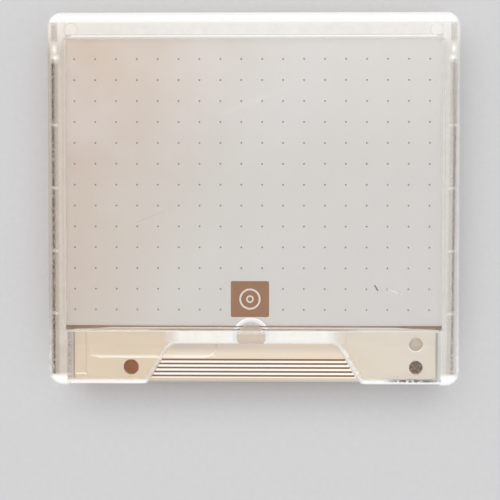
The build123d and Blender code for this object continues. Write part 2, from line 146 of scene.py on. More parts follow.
# Marks on the case: start and end of each, its width, and how strongly they show
SCRATCH = ((-23.0, -4.5), (-17.6, -2.3), 0.10)
SCRATCH_SHOWS = 0.16
DASH = ((24.0, -17.05), (24.55, -17.95), 0.20)
DASH_SHOWS = 0.95
SMEARS = (((26.4, -17.75), (27.4, -18.0), 0.32), ((27.4, -18.0), (28.8, -18.65), 0.40))
SMEARS_SHOW = 0.35

# Colours of the case's plastic, its painted highlight, and the painted shade and dark reflections in its rails,
# gaps and sensing hole
CLEAR_TINT = (0.985, 0.98, 0.97)
SHADOW_TINT = (0.93, 0.925, 0.915)
MILK_RIGHT = (0.70, 0.68, 0.65)
MILK_LEFT = (0.655, 0.59, 0.52)
MILK_OUTER = (0.36, 0.33, 0.29)
HIGHLIGHT_WHITE = (0.985, 0.98, 0.965)
GAP_SHADE = (0.52, 0.41, 0.32)
RAIL_DARK_REFLECTION = (0.11, 0.085, 0.07)
HOLE_SHADE_DARK = (0.27, 0.175, 0.12)
HOLE_SHADE_LIGHT = (0.97, 0.76, 0.63)
FOOT_SHADE = (0.25, 0.155, 0.10)
POLYSTYRENE_IOR = 1.5

# Colours of the card and its print, each ink with the tone it wears to, and the painted light that warms and
# brightens the card
CARD_WARM = (0.512, 0.427, 0.362)
CARD_COOL = (0.552, 0.550, 0.536)
CARD_PALE = (0.60, 0.585, 0.575)
CARD_LILAC = (0.575, 0.545, 0.560)
CARD_FIBRE = (0.48, 0.456, 0.44)
CARD_RUB = (0.86, 0.84, 0.82)
HEAD_BRIGHTER = (1.17, 1.17, 1.17)
DOT_INK = ((0.16, 0.145, 0.132), (0.27, 0.255, 0.24))
SQUARE_INK = ((0.248, 0.112, 0.046), (0.30, 0.150, 0.072))
PALE_INK = ((0.66, 0.60, 0.545), (0.60, 0.54, 0.485))

# Colours of the cartridge, with its painted highlights, shadow and shade
CREAM = (0.645, 0.545, 0.422)
CREAM_SHADE = (0.610, 0.512, 0.390)
CREAM_RIGHT = (0.635, 0.590, 0.515)
CREAM_HIGHLIGHT = (0.98, 0.965, 0.92)
OPEN_CREAM = (0.78, 0.66, 0.52)
DISH_SHADOW = (0.42, 0.33, 0.27)
UNDER_DISH_SHADE = (0.52, 0.37, 0.30)
UNDER_SILL = (0.36, 0.33, 0.32)
GROOVE = (0.460, 0.270, 0.112)
BROWN = (0.40, 0.205, 0.090)
BROWN_SHADE = (0.35, 0.180, 0.080)
BROWN_FLOOR = (0.82, 0.32, 0.045)
TAB = ((0.64, 0.57, 0.475), (0.60, 0.53, 0.435))
SLIDER = ((0.66, 0.60, 0.50), (0.62, 0.56, 0.46))
SHUTTER_METAL = (0.52, 0.49, 0.44)
PLATE_METAL = (0.50, 0.50, 0.51)
DISC_MIRROR = (0.55, 0.54, 0.54)
DISC_BRONZE = (0.36, 0.27, 0.25)
DISC_VIOLET = (0.34, 0.28, 0.36)
DISC_HUB = (0.70, 0.68, 0.64)

# How much finer noise is along each axis, which leaves lines brushed along x
BRUSHED_ALONG_X = (250.0, 12000.0, 250.0)

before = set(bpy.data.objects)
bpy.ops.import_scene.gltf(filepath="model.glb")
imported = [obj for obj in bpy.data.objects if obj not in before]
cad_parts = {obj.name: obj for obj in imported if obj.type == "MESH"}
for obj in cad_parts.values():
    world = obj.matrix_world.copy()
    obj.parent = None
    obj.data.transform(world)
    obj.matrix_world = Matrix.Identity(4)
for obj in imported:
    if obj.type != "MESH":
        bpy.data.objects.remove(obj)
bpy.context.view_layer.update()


class Graph:
    """The nodes of one material, made a call at a time."""

    def __init__(self, name):
        self.material = bpy.data.materials.new(name)
        self.material.use_nodes = True
        self.tree = self.material.node_tree
        self.tree.nodes.clear()

    def node(self, kind, inputs=None, **settings):
        made = self.tree.nodes.new("ShaderNode" + kind)
        for key, value in settings.items():
            setattr(made, key, value)
        for key, value in (inputs or {}).items():
            if isinstance(value, bpy.types.NodeSocket):
                self.tree.links.new(value, made.inputs[key])
            elif isinstance(value, tuple) and made.inputs[key].type == "RGBA":
                made.inputs[key].default_value = (*value, 1.0)
            else:
                made.inputs[key].default_value = value
        return made

    def math(self, operation, a, b=0.0, c=0.0):
        return self.node("Math", {0: a, 1: b, 2: c}, operation=operation).outputs[0]

    def place(self, scale=(1000.0, 1000.0, 1000.0)):
        """The point in the part's frame, in millimetres, stretched by scale."""
        coordinates = self.node("TexCoord").outputs["Object"]
        return self.node("VectorMath", {0: coordinates, 1: scale}, operation="MULTIPLY").outputs[0]

    def axes(self):
        split = self.node("SeparateXYZ", {0: self.place()})
        return split.outputs[0], split.outputs[1], split.outputs[2]

    def facing(self):
        """The surface's normal, axis by axis."""
        split = self.node("SeparateXYZ", {0: self.node("TexCoord").outputs["Normal"]})
        return split.outputs[0], split.outputs[1], split.outputs[2]

    def noise(self, vector, scale, detail=3.0, roughness=0.5):
        inputs = {"Vector": vector, "Scale": scale, "Detail": detail, "Roughness": roughness}
        return self.node("TexNoise", inputs).outputs["Fac"]

    def remap(self, value, low, high, to_low=0.0, to_high=1.0, smooth=False):
        """Value between low and high, spread over to_low to to_high and held at both ends."""
        return self.node(
            "MapRange",
            {"Value": value, "From Min": low, "From Max": high, "To Min": to_low, "To Max": to_high},
            interpolation_type="SMOOTHSTEP" if smooth else "LINEAR",
        ).outputs[0]

    def band(self, value, low, high, soft):
        """1 between low and high, fading to 0 over soft on both sides."""
        rising = self.remap(value, low - soft, low)
        falling = self.remap(value, high, high + soft, 1.0, 0.0)
        return self.math("MULTIPLY", rising, falling)

    def most(self, *values):
        """The highest of several masks."""
        highest = values[0]
        for value in values[1:]:
            highest = self.math("MAXIMUM", highest, value)
        return highest

    def both(self, *values):
        """Several masks multiplied together."""
        product = values[0]
        for value in values[1:]:
            product = self.math("MULTIPLY", product, value)
        return product

    def reach(self, x, y, centre):
        """Distance of (x, y) from centre."""
        dx = self.math("SUBTRACT", x, centre[0])
        dy = self.math("SUBTRACT", y, centre[1])
        squares = self.math("ADD", self.math("MULTIPLY", dx, dx), self.math("MULTIPLY", dy, dy))
        return self.math("SQRT", squares)

    def spot(self, x, y, centre, radius, soft):
        return self.remap(self.reach(x, y, centre), radius, radius + soft, 1.0, 0.0)

    def stroke(self, x, y, start, end, width):
        """A short straight mark, 1 along its middle."""
        length = math.hypot(end[0] - start[0], end[1] - start[1])
        ux = (end[0] - start[0]) / length
        uy = (end[1] - start[1]) / length
        dx = self.math("SUBTRACT", x, start[0])
        dy = self.math("SUBTRACT", y, start[1])
        along = self.math("ADD", self.math("MULTIPLY", dx, ux), self.math("MULTIPLY", dy, uy))
        across = self.math("ADD", self.math("MULTIPLY", dx, -uy), self.math("MULTIPLY", dy, ux))
        middle = self.remap(self.math("ABSOLUTE", across), width * 0.3, width, 1.0, 0.0)
        return self.both(self.band(along, 0.0, length, width), middle)

    def mix(self, factor, a, b, blend="MIX"):
        return self.node("Mix", {0: factor, 6: a, 7: b}, data_type="RGBA", blend_type=blend).outputs[2]

    def bump(self, height, strength, distance, normal=None):
        """Bump from a height of 0 to 1 that stands for distance millimetres."""
        inputs = {"Height": height, "Strength": strength, "Distance": distance * MM}
        if normal is not None:
            inputs["Normal"] = normal
        return self.node("Bump", inputs).outputs[0]

    def scratches(self, scale, stretch, turn, width):
        """Thin straight scratches: 1 on them and 0 elsewhere."""
        turned = self.node(
            "VectorRotate", {"Vector": self.place(), "Angle": turn}, rotation_type="Z_AXIS"
        ).outputs[0]
        longer = self.node(
            "VectorMath", {0: turned, 1: (1.0 / stretch, 1.0, 1.0)}, operation="MULTIPLY"
        ).outputs[0]
        cells = self.node(
            "TexVoronoi", {"Vector": longer, "Scale": scale, "Randomness": 1.0}, feature="DISTANCE_TO_EDGE"
        ).outputs["Distance"]
        sparse = self.noise(longer, scale * 0.7, 2.0)
        line = self.remap(cells, 0.0, width, 1.0, 0.0)
        return self.math("MULTIPLY", line, self.remap(sparse, 0.55, 0.62))

    def from_axis(self, node):
        """Distance from the upright axis of a CAD node, in millimetres."""
        centre = frame_centre(node)
        back = (-centre.x / MM, -centre.y / MM, 0.0)
        offset = self.node("VectorMath", {0: self.place(), 1: back}, operation="ADD").outputs[0]
        flat = self.node("VectorMath", {0: offset, 1: (1.0, 1.0, 0.0)}, operation="MULTIPLY").outputs[0]
        return self.node("VectorMath", {0: flat}, operation="LENGTH").outputs["Value"]

    def rings(self, radius, scale, detail, roughness=0.5):
        """Noise that changes with radius alone."""
        line = self.node("CombineXYZ", {0: self.math("MULTIPLY", radius, scale)}).outputs[0]
        return self.noise(line, 1.0, detail, roughness)

    def surface(self, **inputs):
        """The Principled shader, as the material's surface."""
        named = {key.replace("_", " "): value for key, value in inputs.items()}
        shader = self.node("BsdfPrincipled", named)
        self.node("OutputMaterial", {"Surface": shader.outputs[0]})
        return self.material


def frame_centre(node):
    low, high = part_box(node)
    return (low + high) / 2


def cutout_half_width(g, y):
    """Half the width of the thumb cut-out at y."""
    widening = g.math("MULTIPLY", g.math("SUBTRACT", CUTOUT_TOP, y), CUTOUT_SPREAD)
    return g.math("ADD", widening, CUTOUT_TOP_HALF)


class CasePoint:
    """Where a point of the case's plastic lies, and the masks that several of its marks share."""

    def __init__(self, g):
        self.x, self.y, self.z = g.axes()
        self.side = g.math("ABSOLUTE", self.x)
        self.face = g.remap(self.z, FRONT_FACE - 0.1, FRONT_FACE)
        self.front_wall = g.remap(self.z, FRONT_WALL_BACK, FRONT_WALL_BACK + 0.05)
        self.back_wall = g.remap(self.z, BACK_WALL_TOP, BACK_WALL_TOP - 0.05)
        self.beyond_cutout = g.math("SUBTRACT", self.side, cutout_half_width(g, self.y))
        self.below_pocket = g.remap(self.y, POCKET_FOOT + 0.1, POCKET_FOOT)
        self.on_dish = g.spot(self.x, self.y, (DISH_X, DISH_Y), DISH_FLOOR_RADIUS, 0.15)
        self.dish_slope = g.remap(self.z, DISH_HEIGHT - 0.1, DISH_HEIGHT)
        from_rib = g.math("SUBTRACT", self.y, RIB_Y)
        self.off_rib = g.math("ABSOLUTE", g.math("WRAP", from_rib, RIB_PITCH / 2, -RIB_PITCH / 2))


def rail_milk(g, p, hollow_start):
    """Milk of the rails, clearer over their pockets, and how much of the plastic is whole there."""
    across = g.band(g.math("SUBTRACT", p.side, hollow_start), 0.0, HOLLOW_WIDTH, 0.15)
    hollow = g.both(across, g.band(p.y, POCKET_START, POCKET_END, 0.3))
    corner = g.both(g.band(p.side, 39.05, 39.85, 0.35), g.band(p.y, 31.5, 34.5, 0.6), 0.9)
    hollow = g.most(hollow, corner)
    whole = g.math("SUBTRACT", 1.0, g.math("MULTIPLY", hollow, HOLLOW_LOSS))
    rail = g.both(g.remap(p.side, RAIL_INSIDE - 0.3, RAIL_INSIDE), whole, RAIL_MILK)
    skin = g.remap(p.side, 40.05, 40.3, 0.0, OUTSIDE_MILK)
    return g.most(rail, skin), whole


def end_milk(g, p, whole):
    """Milk of the closed end, which starts softly on the rails and fades in a ring round each boss."""
    end = g.most(
        g.remap(p.y, CLOSED_END, CLOSED_END + 0.5, 0.0, END_MILK),
        g.remap(p.y, WINDOW_HEAD, WINDOW_HEAD + 0.2, 0.0, LIP_MILK),
    )
    on_rail = g.remap(p.side, RAIL_INSIDE - 0.1, RAIL_INSIDE + 0.2)
    off_rail = g.remap(p.side, RAIL_INSIDE + 0.2, RAIL_INSIDE - 0.1)
    rail_end = g.both(g.remap(p.y, 28.8, 33.4, 0.0, END_MILK, smooth=True), on_rail)
    end = g.both(g.most(g.both(end, off_rail), rail_end), whole)
    from_boss = g.reach(p.side, p.y, (BOSS_X, BOSS_Y))
    boss = g.both(g.band(from_boss, BOSS_RADIUS - 0.05, BOSS_RADIUS + 0.05, 0.12), p.face)
    return g.math("MULTIPLY", end, g.remap(boss, 0.0, 1.0, 1.0, BOSS_SHARE))


def highlight_places(g, p, hollow_start, patches):
    """The whitest places of the case, as one mask: painted highlights where thick plastic, a foot or a slope would
    gather the light, with milkier plastic there too.
    """
    end_wall = g.remap(p.y, END_WALL - 0.4, END_WALL, 0.0, END_WALL_MILK)
    rail_foot = g.both(
        g.remap(p.side, RAIL_INSIDE - 0.4, RAIL_INSIDE - 0.1),
        g.remap(p.y, RAIL_END, RAIL_END - 0.8),
        RAIL_FOOT_MILK,
    )
    stop = g.both(g.band(p.y, CLOSED_END, CLOSED_END + 0.2, 0.25), g.remap(p.side, 36.8, 35.8), STOP_MILK)
    beside_dish = g.math("SUBTRACT", 1.0, p.on_dish)
    # Painted highlight round the dish's sloped wall
    glow = g.both(
        g.spot(p.x, p.y, (DISH_X, DISH_Y), DISH_TOP_RADIUS, 0.25),
        beside_dish,
        p.dish_slope,
        g.remap(p.y, POCKET_FOOT - 0.8, POCKET_FOOT + 0.3, 0.35, DISH_GLOW),
    )
    half_y = g.math("MULTIPLY", p.y, 0.5)
    # Painted glints on the rails
    glints = g.most(
        g.spot(p.side, half_y, (39.4, 14.85), 0.10, 0.65), g.spot(p.side, p.y, (39.2, 27.9), 0.15, 0.80)
    )
    glints = g.math("MULTIPLY", glints, GLINT_MILK)
    foot_line = g.both(
        g.band(p.y, POCKET_FOOT - 0.06, POCKET_FOOT + 0.02, 0.06),
        g.remap(p.side, RAIL_INSIDE, RAIL_INSIDE - 0.2),
        FOOT_LINE_MILK,
    )
    wall_foot = g.both(
        g.remap(p.y, -35.5, -36.1), g.math("GREATER_THAN", p.beyond_cutout, 0.0), p.front_wall, WALL_FOOT_MILK
    )
    slant = g.both(
        g.band(p.beyond_cutout, -0.2, 0.8, 0.7),
        g.remap(p.y, CUTOUT_TOP, CUTOUT_TOP - 1.0),
        p.face,
        patches,
        g.remap(p.x, -1.0, 1.0, *SLANT_MILK),
    )
    rib = g.both(
        g.remap(p.off_rib, 0.08, 0.30, 1.0, 0.0),
        g.band(g.math("SUBTRACT", p.side, hollow_start), -0.3, 0.2, 0.3),
        g.band(p.y, -25.0, 18.0, 0.5),
        p.face,
        RIB_MILK,
    )
    return g.most(end_wall, rail_foot, stop, glow, glints, foot_line, wall_foot, slant, rib)


def gap_veils(g, p):
    """Milk of the front wall over the gaps beside the cartridge, painted in to lighten the shade in the gaps."""
    left = g.band(p.x, -RAIL_INSIDE, CARTRIDGE_LEFT - 0.1, 0.15)
    right = g.band(p.x, CARTRIDGE_RIGHT + 0.14, RAIL_INSIDE, 0.10)
    return g.most(
        g.both(left, p.face, p.below_pocket, LEFT_GAP_MILK), g.both(right, p.face, p.below_pocket, RIGHT_GAP_MILK)
    )


def case_milk(g, p):
    """How milky the case's plastic is, and the painted highlights where it is at its whitest."""
    patches = g.remap(g.noise(g.place(), 0.9, 3.0), 0.35, 0.65, 0.35, 1.0)
    edge = g.remap(g.math("ABSOLUTE", g.facing()[2]), 0.995, 0.90, 0.0, EDGE_MILK, smooth=True)
    left_slant = g.both(
        g.band(p.beyond_cutout, -0.7, 0.5, 0.2), g.remap(p.x, -1.0, -2.0), g.remap(p.y, -29.0, -30.0)
    )
    edge = g.math("MULTIPLY", edge, g.remap(left_slant, 0.0, 1.0, 1.0, LEFT_SLANT_SHARE))
    hollow_start = g.remap(p.x, -1.0, 1.0, HOLLOW_LEFT, HOLLOW_RIGHT)
    rail, whole = rail_milk(g, p, hollow_start)
    end = end_milk(g, p, whole)
    sill = g.both(
        g.band(p.y, CUTOUT_TOP - 0.1, POCKET_FOOT, 0.15),
        g.remap(p.side, 14.5, 18.5, SILL_MILK, 0.05),
        g.math("SUBTRACT", 1.0, p.on_dish),
    )
    cloud = g.remap(g.noise(g.place(), 0.30, 4.0, 0.6), 0.30, 0.75, 0.90, 1.10)
    milk = g.math("MULTIPLY", g.most(edge, rail, end, sill), cloud)
    inner_wall = g.band(p.side, CAVITY_SIDE - 0.03, CAVITY_SIDE + 0.03, 0.02)
    milk = g.math("MULTIPLY", milk, g.remap(inner_wall, 0.0, 1.0, 1.0, 0.3))

    white = highlight_places(g, p, hollow_start, patches)
    # Painted highlights on the walls near the cut-out, on the sill and on the closed end
    near_cutout = g.both(edge, g.remap(p.y, -20.0, -34.0, 0.0, 1.1), patches)
    brightness = g.most(white, g.math("MULTIPLY", sill, 1.4), near_cutout, g.math("MULTIPLY", end, 0.95))
    return g.most(milk, white, gap_veils(g, p), VEIL), brightness


def rail_painted_shade(g, p, inside, fine_noise):
    """The painted dark reflection along each rail's pocket, a speckled line, and the painted soft shade beside it
    and in the corner pockets.
    """
    stretched = g.place(scale=(1000.0, 600.0, 1000.0))
    specks = g.remap(g.noise(stretched, 1.9, 5.0, 0.8), 0.42, 0.48)
    tilt = g.math("MULTIPLY", p.y, g.remap(p.x, -1.0, 1.0, -0.0015, -0.011))
    shift = g.math("ADD", g.remap(p.x, -1.0, 1.0, 0.42, 0.54), tilt)
    wander = g.math("ADD", g.math("ADD", p.side, shift), g.remap(fine_noise, 0.3, 0.7, -0.20, 0.20))
    strength = g.most(g.remap(p.x, 1.0, -1.0), g.remap(p.y, 24.0, 12.0, 0.1, 0.8))
    line = g.both(g.band(wander, 39.88, 40.22, 0.06), specks, strength)
    line = g.most(line, g.both(g.band(wander, 39.3, 40.1, 0.5), g.remap(p.x, -30.0, 30.0, 0.48, 0.34)))
    soft = g.both(g.band(p.side, 39.35, 40.05, 0.12), 0.30, inside)
    pocket = g.both(g.most(g.math("MULTIPLY", line, p.face), soft), g.band(p.y, POCKET_START, POCKET_END, 0.3))
    pocket = g.math("MULTIPLY", pocket, g.remap(p.off_rib, 0.15, 0.40, 0.2, 1.0))
    corner = g.both(g.band(p.side, 39.0, 39.9, 0.3), g.band(p.y, 31.5, 34.6, 0.7), inside)
    return g.most(pocket, g.both(corner, g.remap(p.side, 38.9, 40.0, 0.36, 0.14)))


def gap_painted_shade(g, p, fine_noise):
    """Painted shade in the gaps beside the cartridge: speckled on the back wall and on the front face at the left,
    and a dark line beside the cartridge's right side.
    """
    specks = g.math("ADD", g.math("MULTIPLY", g.remap(fine_noise, 0.35, 0.65), 0.50), 0.38)
    left = g.both(g.band(p.x, -CAVITY_SIDE + 0.1, CARTRIDGE_LEFT - 0.05, 0.15), p.back_wall, specks)
    left_face_shade = g.both(
        g.band(p.x, -36.75, -36.35, 0.45),
        p.below_pocket,
        p.face,
        g.remap(g.noise(g.place(), 2.2, 5.0, 0.8), 0.44, 0.60, 0.0, 0.45),
    )
    right = g.both(g.band(p.x, CARTRIDGE_RIGHT, CARTRIDGE_RIGHT + 0.10, 0.05), p.back_wall, 0.7)
    return g.most(left, left_face_shade, right)


def case_painted_shade(g, p):
    """Painted shade and dark reflections of the case, and the painted brown shadow lines along the card's foot."""
    fine_noise = g.noise(g.place(), 3.2, 4.0, 0.75)
    inside = g.band(p.z, 0.8, 6.3, 0.05)
    # Painted dark reflection, speckled, along the lower front edge of the wall at the right
    low_edge = g.both(
        g.band(p.y, -36.15, -35.75, 0.15),
        g.band(p.x, 28.5, 35.0, 3.0),
        p.front_wall,
        g.remap(g.noise(g.place(), 1.7, 5.0, 0.8), 0.46, 0.50),
    )
    # Painted shade on the dish's floor
    dish = g.both(p.on_dish, p.dish_slope, 0.12)
    painted_shade = g.most(rail_painted_shade(g, p, inside, fine_noise), gap_painted_shade(g, p, fine_noise), low_edge, dish)

    # Painted brown shadow along the card's foot, stronger towards both ends, with a second fainter line below it
    # near the middle
    above = g.math("ADD", p.y, g.remap(p.side, 28.0, 37.0, 0.0, 0.45))
    foot = g.both(
        g.remap(above, CARD_FOOT - 0.30, CARD_FOOT - 0.20),
        g.remap(p.y, CARD_FOOT, CARD_FOOT - 0.05),
        g.remap(p.side, 20.0, 34.0, 0.42, 0.80),
        g.remap(p.y, CARD_FOOT - 0.15, CARD_FOOT - 0.8, 1.0, 0.3),
    )
    second = g.both(g.band(p.y, -25.95, -25.8, 0.08), g.remap(p.side, 16.0, 24.0, 0.22, 0.0))
    foot = g.both(g.most(foot, second), g.remap(p.side, RAIL_INSIDE, RAIL_INSIDE - 0.2), p.front_wall)
    return g.math("MULTIPLY", painted_shade, SHADE_STRENGTH), foot


def clear_plastic():
    """Clear polystyrene gone slightly milky: clear where it lies flat over the card, whiter in the thick rails and
    the closed end, and whitest on walls and slopes, with painted highlights where they would gather the light.
    Painted shade and dark reflections darken its rails, its gaps, its sensing hole and the card's foot."""
    g = Graph("clear_plastic")
    place = g.place()
    p = CasePoint(g)
    fine = g.noise(place, 4.0, 3.0)
    normal = g.bump(g.noise(place, 0.40, 2.0), 0.12, 0.05)
    normal = g.bump(fine, 0.03, 0.01, normal)

    milk, brightness = case_milk(g, p)
    painted_shade, foot = case_painted_shade(g, p)
    scratch = g.both(g.stroke(p.x, p.y, *SCRATCH), p.face, SCRATCH_SHOWS)
    smears = g.both(g.most(*(g.stroke(p.x, p.y, *smear) for smear in SMEARS)), p.face, SMEARS_SHOW)
    dash = g.both(g.stroke(p.x, p.y, *DASH), p.face, DASH_SHOWS)
    # Painted shade in the sensing hole: dark brown specks on a light brown, on the back wall below the hole and
    # faintly on the face over it
    hole_noise = g.noise(place, 1.9, 4.0, 0.75)
    speckle = g.remap(hole_noise, 0.46, 0.54, 0.38, 0.14)
    hole = g.most(g.math("MULTIPLY", p.back_wall, 0.9), g.math("MULTIPLY", p.face, speckle))
    hole = g.math("MULTIPLY", hole, g.spot(p.x, p.y, SENSING_HOLE, 1.3, 0.1))

    # Painted light and shade: the milk is warmer and browner to the left and greyer to the right
    colour = g.mix(g.remap(p.x, -42.0, -6.0, 1.0, 0.0), MILK_RIGHT, MILK_LEFT)
    outer = g.both(
        g.remap(p.x, -39.95, -40.15),
        g.remap(p.z, 6.8, 7.2),
        g.remap(p.y, 32.5, 28.5),
        g.remap(p.y, -35.4, -34.6),
        0.5,
    )
    colour = g.mix(outer, colour, MILK_OUTER)
    brightness = g.math("MINIMUM", g.most(brightness, scratch, smears), 1.0)
    # Painted highlights turn the milk near white, and so do the real scratches and smears
    colour = g.mix(brightness, colour, HIGHLIGHT_WHITE)
    # Painted shade and dark reflections take this colour, and so does the real dark dash
    painted_shade_and_dash = g.mix(g.remap(p.z, 1.0, 6.0), GAP_SHADE, RAIL_DARK_REFLECTION)
    colour = g.mix(g.most(painted_shade, dash), colour, painted_shade_and_dash)
    mottling = g.mix(g.remap(hole_noise, 0.46, 0.54), HOLE_SHADE_DARK, HOLE_SHADE_LIGHT)
    colour = g.mix(g.remap(hole, 0.05, 0.15), colour, mottling)
    colour = g.mix(g.remap(foot, 0.05, 0.15), colour, FOOT_SHADE)
    solid = g.math("MINIMUM", g.most(milk, painted_shade, scratch, smears, dash, hole, foot), 0.97)

    hairlines = g.most(g.scratches(0.16, 7.0, 0.6, 0.010), g.scratches(0.13, 9.0, -0.9, 0.008))
    clear_roughness = g.math("ADD", g.remap(fine, 0.35, 0.7, 0.03, 0.09), g.math("MULTIPLY", hairlines, 0.12))
    clear = g.node(
        "BsdfPrincipled",
        {
            "Base Color": CLEAR_TINT,
            "Roughness": clear_roughness,
            "Normal": normal,
            "IOR": POLYSTYRENE_IOR,
            "Transmission Weight": 1.0,
        },
    )
    milky = g.node(
        "BsdfPrincipled",
        {
            "Base Color": colour,
            "Roughness": g.remap(fine, 0.3, 0.7, 0.16, 0.30),
            "Normal": normal,
            "IOR": POLYSTYRENE_IOR,
        },
    )
    body = g.node("MixShader", {0: solid, 1: clear.outputs[0], 2: milky.outputs[0]})
    passing = g.node("BsdfTransparent", {"Color": SHADOW_TINT})
    shadow = g.node("LightPath").outputs["Is Shadow Ray"]
    mixed = g.node("MixShader", {0: shadow, 1: body.outputs[0], 2: passing.outputs[0]})
    g.node("OutputMaterial", {"Surface": mixed.outputs[0]})
    return g.material


def card_stock():
    """Matt coated board: greyish white, with a fine tooth and a few rubs, and painted light that makes it warmer
    to the upper left and brighter towards the head.
    """
    g = Graph("card_stock")
    x, y, _ = g.axes()
    place = g.place()
    # Painted warm light from the upper left
    slope = g.math("ADD", x, g.math("MULTIPLY", y, -0.35))
    colour = g.mix(g.remap(slope, -46.0, 4.0, smooth=True), CARD_WARM, CARD_COOL)
    mottle = g.noise(place, 0.10, 4.0, 0.6)
    colour = g.mix(g.remap(mottle, 0.35, 0.7, 0.0, 0.25), colour, CARD_PALE)
    clouds = g.noise(place, 0.045, 3.0, 0.6)
    colour = g.mix(g.remap(clouds, 0.48, 0.62, 0.0, 0.32), colour, CARD_LILAC)
    # Painted light: brighter towards the head
    head = g.remap(y, 2.0, 32.0, 0.0, 0.6, smooth=True)
    colour = g.mix(head, colour, HEAD_BRIGHTER, blend="MULTIPLY")
    fibres = g.noise(place, 9.0, 5.0, 0.65)
    colour = g.mix(g.remap(fibres, 0.30, 0.75, 0.0, 0.10), colour, CARD_FIBRE)
    rubs = g.scratches(0.07, 10.0, 0.42, 0.006)
    colour = g.mix(g.math("MULTIPLY", rubs, 0.10), colour, CARD_RUB)
    return g.surface(
        Base_Color=colour,
        Roughness=g.remap(fibres, 0.3, 0.7, 0.52, 0.68),
        Normal=g.bump(fibres, 0.35, 0.02),
        Specular_IOR_Level=0.35,
    )


def printed(name, ink):
    """Ink on the card, thin enough to let a little of the board through."""
    g = Graph(name)
    grain = g.noise(g.place(), 7.0, 4.0, 0.6)
    fresh, worn = ink
    return g.surface(
        Base_Color=g.mix(g.remap(grain, 0.35, 0.75, 0.0, 0.25), fresh, worn),
        Roughness=g.remap(grain, 0.3, 0.7, 0.5, 0.7),
        Normal=g.bump(grain, 0.3, 0.01),
    )


def satin(g, colour, dark):
    """Finishes a moulded plastic: fine satin texture, and a little dust over its colour."""
    texture = g.noise(g.place(), 7.0, 3.0, 0.55)
    mottling = g.math("MULTIPLY", g.remap(g.noise(g.place(), 2.2, 4.0, 0.7), 0.60, 0.75), 0.18)
    return g.surface(
        Base_Color=g.mix(mottling, colour, tuple(0.8 * c for c in dark)),
        Roughness=g.remap(texture, 0.3, 0.7, 0.34, 0.50),
        Normal=g.bump(texture, 0.35, 0.015),
        IOR=1.5,
    )


def clouded(g, light, dark):
    """Two tones of a plastic in large soft clouds."""
    return g.mix(g.remap(g.noise(g.place(), 0.09, 3.0), 0.3, 0.7), light, dark)


def moulded(name, tones):
    g = Graph(name)
    return satin(g, clouded(g, *tones), tones[1])


def cream_plastic():
    """The hub side: cream, painted greyer to the right for cool light, with brown grip grooves, painted highlights
    on the ribs between them, on its steps and round the closed hole, painted shadow and shade round the dish and
    under the sill, and a lighter painted tone where the cut-out leaves it open."""
    g = Graph("cream_plastic")
    x, y, z = g.axes()
    colour = clouded(g, CREAM, CREAM_SHADE)
    # Painted cool light: greyer to the right
    colour = g.mix(g.remap(x, -10.0, 30.0), colour, CREAM_RIGHT)
    # Painted light: lighter where the cut-out leaves it open
    in_cutout = g.math("SUBTRACT", cutout_half_width(g, y), 0.2)
    open_air = g.math("LESS_THAN", g.math("ABSOLUTE", x), in_cutout)
    bare = g.both(open_air, g.band(y, -31.95, CUTOUT_TOP, 0.1))
    colour = g.mix(bare, colour, OPEN_CREAM)

    # Painted highlights on the slopes of the steps that face up and towards the closed end, a painted bright line
    # at the panel's foot and a painted highlight on the rim of the closed hole
    face = g.remap(z, SHELL_FACE - 0.1, SHELL_FACE)
    _, along, up = g.facing()
    worn = g.both(g.band(up, 0.45, 0.9, 0.04), g.remap(along, 0.1, 0.5), face)
    worn = g.math("MULTIPLY", worn, g.most(g.remap(x, -32.5, -30.5, 0.1, 1.0), g.remap(y, -33.5, -34.0)))
    colour = g.mix(g.math("MULTIPLY", worn, 0.8), colour, CREAM_HIGHLIGHT)
    lit = g.both(
        g.band(y, PANEL_STEP + 0.05, PANEL_STEP + 0.25, 0.08),
        g.remap(x, PANEL_START, PANEL_START + 0.5),
        g.remap(x, PANEL_END, PANEL_END - 0.6),
        face,
    )
    colour = g.mix(g.math("MULTIPLY", lit, 0.42), colour, CREAM_HIGHLIGHT)
    around = g.band(g.reach(x, y, CLOSED_HOLE), 1.25, 1.45, 0.05)
    rim = g.both(around, g.remap(y, -28.9, -29.6), g.remap(z, 5.3, 5.5))
    colour = g.mix(g.math("MULTIPLY", rim, 0.8), colour, CREAM_HIGHLIGHT)

    # Painted shadow behind the dish, painted shade round it, and painted shade under the sill
    dish_shadow = g.both(
        g.spot(x, y, (DISH_X, DISH_Y), 2.0, 0.4), g.remap(y, POCKET_FOOT - 0.1, POCKET_FOOT + 0.1)
    )
    colour = g.mix(g.math("MULTIPLY", dish_shadow, 0.6), colour, DISH_SHADOW)
    under_dish_shade = g.both(g.spot(x, y, (DISH_X, DISH_Y), 2.8, 0.2), g.remap(y, CUTOUT_TOP - 0.1, CUTOUT_TOP + 0.1))
    colour = g.mix(g.math("MULTIPLY", under_dish_shade, 0.25), colour, UNDER_DISH_SHADE)
    shaded = g.both(g.band(y, -29.6, CUTOUT_TOP, 1.2), open_air, g.remap(x, -14.0, 4.0, 0.50, 0.30))
    colour = g.mix(shaded, colour, UNDER_SILL)

    # Grip grooves and the ribs between them
    beside = g.math("LESS_THAN", g.math("ABSOLUTE", g.math("SUBTRACT", x, GRIP_CENTRE)), GRIP_HALF)
    groove = g.both(
        g.remap(z, 5.66, 5.74, 1.0, 0.0),
        g.math("LESS_THAN", y, GRIP_START),
        beside,
        g.math("GREATER_THAN", z, 5.5),
    )
    colour = g.mix(groove, colour, GROOVE)
    # Painted highlight on the ribs
    ribs = g.both(g.band(y, -35.55, -32.2, 0.08), open_air, beside, g.remap(z, 5.9, 6.0))
    colour = g.mix(ribs, colour, CREAM_HIGHLIGHT)
    return satin(g, colour, CREAM_SHADE)


